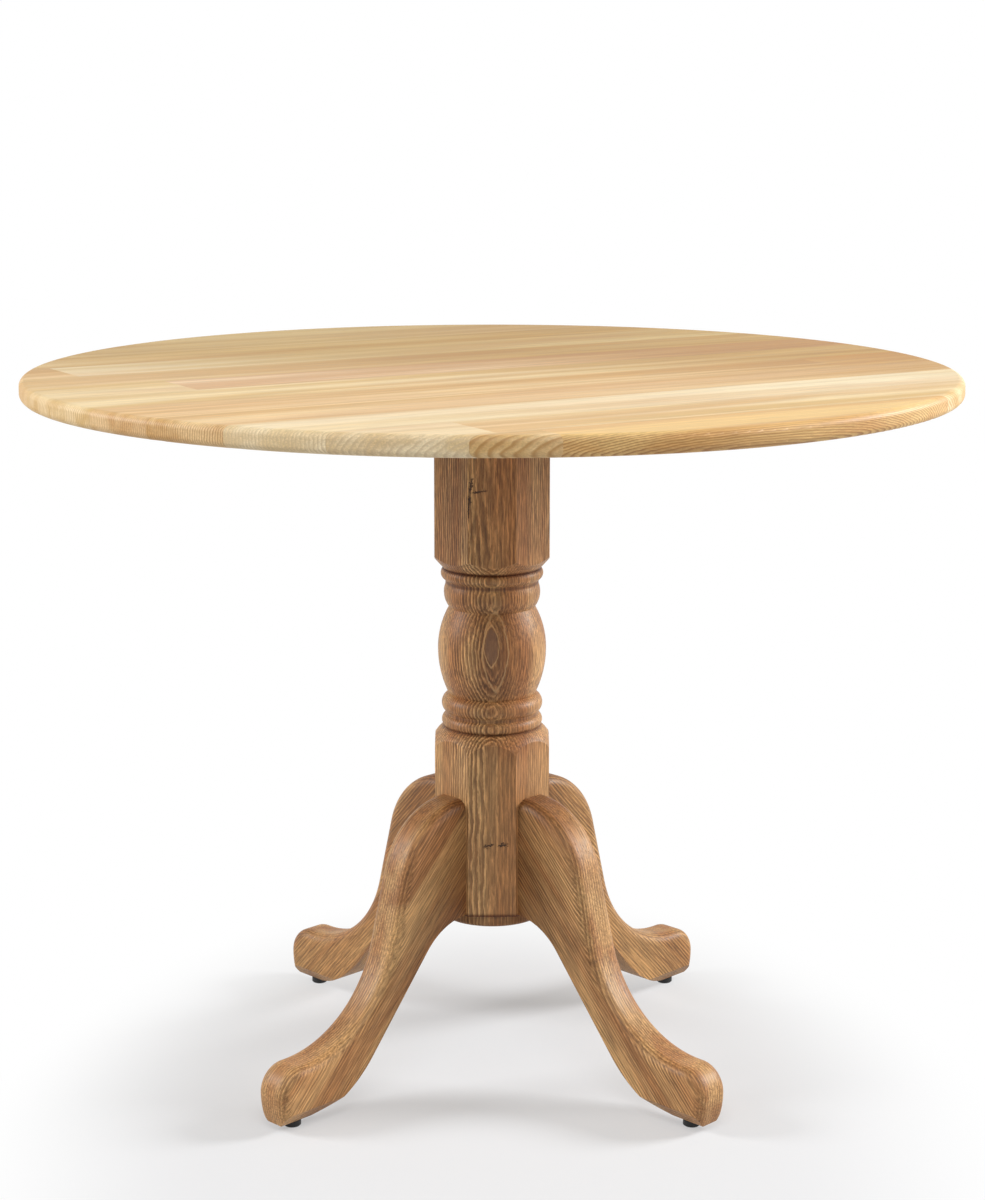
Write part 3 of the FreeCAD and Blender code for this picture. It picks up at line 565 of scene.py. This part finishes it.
def finishLegs(setup, figure, turns):
    for order, (name, turn) in enumerate(turns.items()):
        recipe = Recipe("legWood_" + name)
        look = dict(setup)
        look.update(figure)
        look["seed"] = figure["seedStep"] * order + figure["seedStart"]
        source = recipe.add("TexCoord").outputs
        lengthwise = recipe.turned(source["Object"], (0, 0, -turn))
        grain = recipe.turned(lengthwise, (0, -figure["grainFall"], 0))
        x, side, upward = recipe.split(grain)
        facing = recipe.split(recipe.turned(source["Normal"], (0, 0, -turn)))[1]
        facing = recipe.levels(recipe.math("ABSOLUTE", facing), *figure["sideRange"])
        sideRing = ringLines(recipe, grain, upward, look)
        drift = recipe.math("MULTIPLY_ADD", x, figure["upperDrift"], side)
        upperRing = ringLines(recipe, grain, drift, look)
        ring = recipe.mix(facing, upperRing, sideRing)
        color, rough, relief = growWood(recipe, grain, ring, look)
        # painted shade near the column
        rootShade = recipe.levels(recipe.split(lengthwise)[0], *figure["rootShadeReach"], 1.0, 0.0)
        color = recipe.mix(rootShade, color, figure["rootShadeTone"], "MULTIPLY")
        # painted shade on the back legs
        if name.startswith("back"):
            color = recipe.mix(1.0, color, figure["backTone"], "MULTIPLY")
        dress("leg_" + name, recipe.finish(color, rough, relief, setup["bumpDepth"], setup["specular"]))


# Hidden timber: the cross bars under the panel and the dowels in the legs
barFigure = {
    "pith": (0.03, 0.62),
    "lean": (0.02, 0.01),
    "seed": 5.1,
    "ringStart": 0.0,
    "ringSpacing": 0.004,
    "ringContrast": 0.5,
    "wander": 0.005,
    "wanderScale": (3.0, 14.0, 14.0),
    "tint": shade(200, 156, 106),
    "tintStrength": 0.4,
    # turn in degrees that lays the grain along the pieces
    "pieces": [(0, ["cross_bar_lower"]), (-90, ["cross_bar_upper", "leg_dowels"])],
}


def finishHidden(setup, figure):
    look = dict(setup)
    look.update(figure)
    for turn, names in figure["pieces"]:
        recipe = Recipe("barWood" + str(abs(turn)))
        grain = recipe.turned(recipe.place(), (0, 0, turn))
        x, y, z = recipe.split(grain)
        ring = ringLines(recipe, grain, ringReach(recipe, x, y, z, look), look)
        color, rough, relief = growWood(recipe, grain, ring, look)
        material = recipe.finish(color, rough, relief, setup["bumpDepth"], setup["specular"])
        for name in names:
            dress(name, material)


# Screws, bolts, nuts, washers, inserts and the glides' stems
steelFinish = {
    "color": shade(178, 178, 174),
    "roughness": 0.34,
    "brushScale": (400.0, 400.0, 60.0),
    "toneRange": (0.25, 0.75),
    "toneSpread": (0.82, 1.06),
    "roughRange": (0.2, 0.8),
    "roughSpread": (-0.08, 0.1),
    "bumpDepth": 0.00002,
    "pieces": (
        "glide_stem", "glide_inserts", "top_screws", "lag_washers", "lag_screws", "end_cap_screws",
        "leg_hanger_bolts", "leg_saddle_washers", "leg_nuts",
    ),
}

# Black pads of the glides
nylonFinish = {
    "color": shade(15, 15, 16),
    "roughness": 0.55,
    "grainScale": (2600.0, 2600.0, 2600.0),
    "toneRange": (0.3, 0.7),
    "toneSpread": (0.7, 1.35),
    "roughRange": (0.3, 0.7),
    "roughSpread": (-0.1, 0.1),
    "bumpDepth": 0.00004,
}


# One colour, toned and roughened by a fine noise
def grainedFinish(recipe, setup, grain, metallic=0.0):
    tone = recipe.levels(grain, *setup["toneRange"], *setup["toneSpread"])
    color = recipe.mix(1.0, setup["color"], tone, "MULTIPLY")
    spread = [setup["roughness"] + step for step in setup["roughSpread"]]
    rough = recipe.levels(grain, *setup["roughRange"], *spread)
    return recipe.finish(color, rough, grain, setup["bumpDepth"], metallic=metallic)


def finishSteel(setup):
    recipe = Recipe("platedSteel")
    brush = recipe.noise(recipe.stretched(recipe.place(), setup["brushScale"]), detail=4.0, roughness=0.6)
    material = grainedFinish(recipe, setup, brush, metallic=1.0)
    for name in nodes:
        if name.startswith(setup["pieces"]):
            dress(name, material)


def finishPads(setup):
    recipe = Recipe("mouldedNylon")
    speckle = recipe.noise(recipe.stretched(recipe.place(), setup["grainScale"]), detail=2.0, roughness=0.6)
    material = grainedFinish(recipe, setup, speckle)
    for name in legTurns:
        dress("glide_pad_" + name, material)


# Studio: a pale floor that fades to white, a wide lamp above the front and one at each side
studioSetup = {
    "white": (1.0, 1.0, 1.0, 1.0),
    "floorRadius": 9.0,
    "floorSides": 96,
    "floorColor": (0.62, 0.63, 0.65, 1.0),
    "floorLift": 0.36,
    "fadeCentre": (0.0, -0.25, 0.0),
    "fadeStretch": (1.48, 1.0, 1.0),
    "fadeRange": (0.40, 0.80),
    "worldLight": 0.27,
    "lamps": [
        {"name": "overhead", "place": (0.0, -1.5, 2.0), "aim": (0, -0.1, 0.7), "size": 1.4, "power": 18.0},
        {"name": "right", "place": (3.0, 0.5, 1.72), "aim": (0, 0, 0.4), "size": 1.2, "power": 118.0},
        {"name": "left", "place": (-3.0, 0.0, 1.7), "aim": (0, 0, 0.4), "size": 1.2, "power": 70.0},
    ],
}


# White to the camera, and so to reflections and clear things too
def seenWhite(tree):
    path = tree.nodes.new("ShaderNodeLightPath")
    total = path.outputs["Is Camera Ray"]
    for name in ("Is Glossy Ray", "Is Transmission Ray"):
        either = tree.nodes.new("ShaderNodeMath")
        either.operation = "MAXIMUM"
        tree.links.new(total, either.inputs[0])
        tree.links.new(path.outputs[name], either.inputs[1])
        total = either.outputs[0]
    return total


def makeFloor(setup):
    bpy.ops.mesh.primitive_circle_add(
        vertices=setup["floorSides"], radius=setup["floorRadius"], fill_type="NGON")
    floor = bpy.context.object
    floor.name = "floor"
    recipe = Recipe("paleFloor")
    place = recipe.stretched(recipe.place(), setup["fadeStretch"])
    away = recipe.add("VectorMath", {0: place, 1: setup["fadeCentre"]}, operation="DISTANCE")
    fade = recipe.levels(away.outputs["Value"], *setup["fadeRange"], setup["floorLift"], 1.0)
    matt = recipe.add("BsdfDiffuse", {"Color": setup["floorColor"]})
    glow = recipe.add("Emission", {"Color": setup["white"], "Strength": 1.0})
    mixed = recipe.add("MixShader", {"Fac": recipe.math("MULTIPLY", fade, seenWhite(recipe.tree))})
    recipe.feed(mixed.inputs[1], matt.outputs[0])
    recipe.feed(mixed.inputs[2], glow.outputs[0])
    recipe.add("OutputMaterial", {"Surface": mixed.outputs[0]})
    floor.data.materials.append(recipe.material)


def makeWorld(setup):
    world = bpy.data.worlds.new("studio")
    world.use_nodes = True
    scene.world = world
    tree = world.node_tree
    tree.nodes.clear()
    mixed = tree.nodes.new("ShaderNodeMixShader")
    tree.links.new(seenWhite(tree), mixed.inputs[0])
    for slot, strength in ((1, setup["worldLight"]), (2, 1.0)):
        sky = tree.nodes.new("ShaderNodeBackground")
        sky.inputs["Color"].default_value = setup["white"]
        sky.inputs["Strength"].default_value = strength
        tree.links.new(sky.outputs[0], mixed.inputs[slot])
    output = tree.nodes.new("ShaderNodeOutputWorld")
    tree.links.new(mixed.outputs[0], output.inputs[0])


def makeLamps(setup):
    for lamp in setup["lamps"]:
        data = bpy.data.lights.new(lamp["name"], "AREA")
        data.shape = "DISK"
        data.size = lamp["size"]
        data.energy = lamp["power"]
        light = bpy.data.objects.new(lamp["name"], data)
        light.location = lamp["place"]
        aim = Vector(lamp["aim"]) - light.location
        light.rotation_euler = aim.to_track_quat("-Z", "Y").to_euler()
        scene.collection.objects.link(light)


makeCamera(cameraSetup)
print("camera set")
finishTabletop(topFinish, topTones, staveLooks)
print("tabletop staves finished")
finishColumn(baseFinish, columnFigure)
finishLegs(baseFinish, legFigure, legTurns)
finishHidden(baseFinish, barFigure)
finishSteel(steelFinish)
finishPads(nylonFinish)
print("base, fastenings and glides finished")
makeFloor(studioSetup)
makeWorld(studioSetup)
makeLamps(studioSetup)
print("studio lit")

scene.view_settings.view_transform = "Standard"
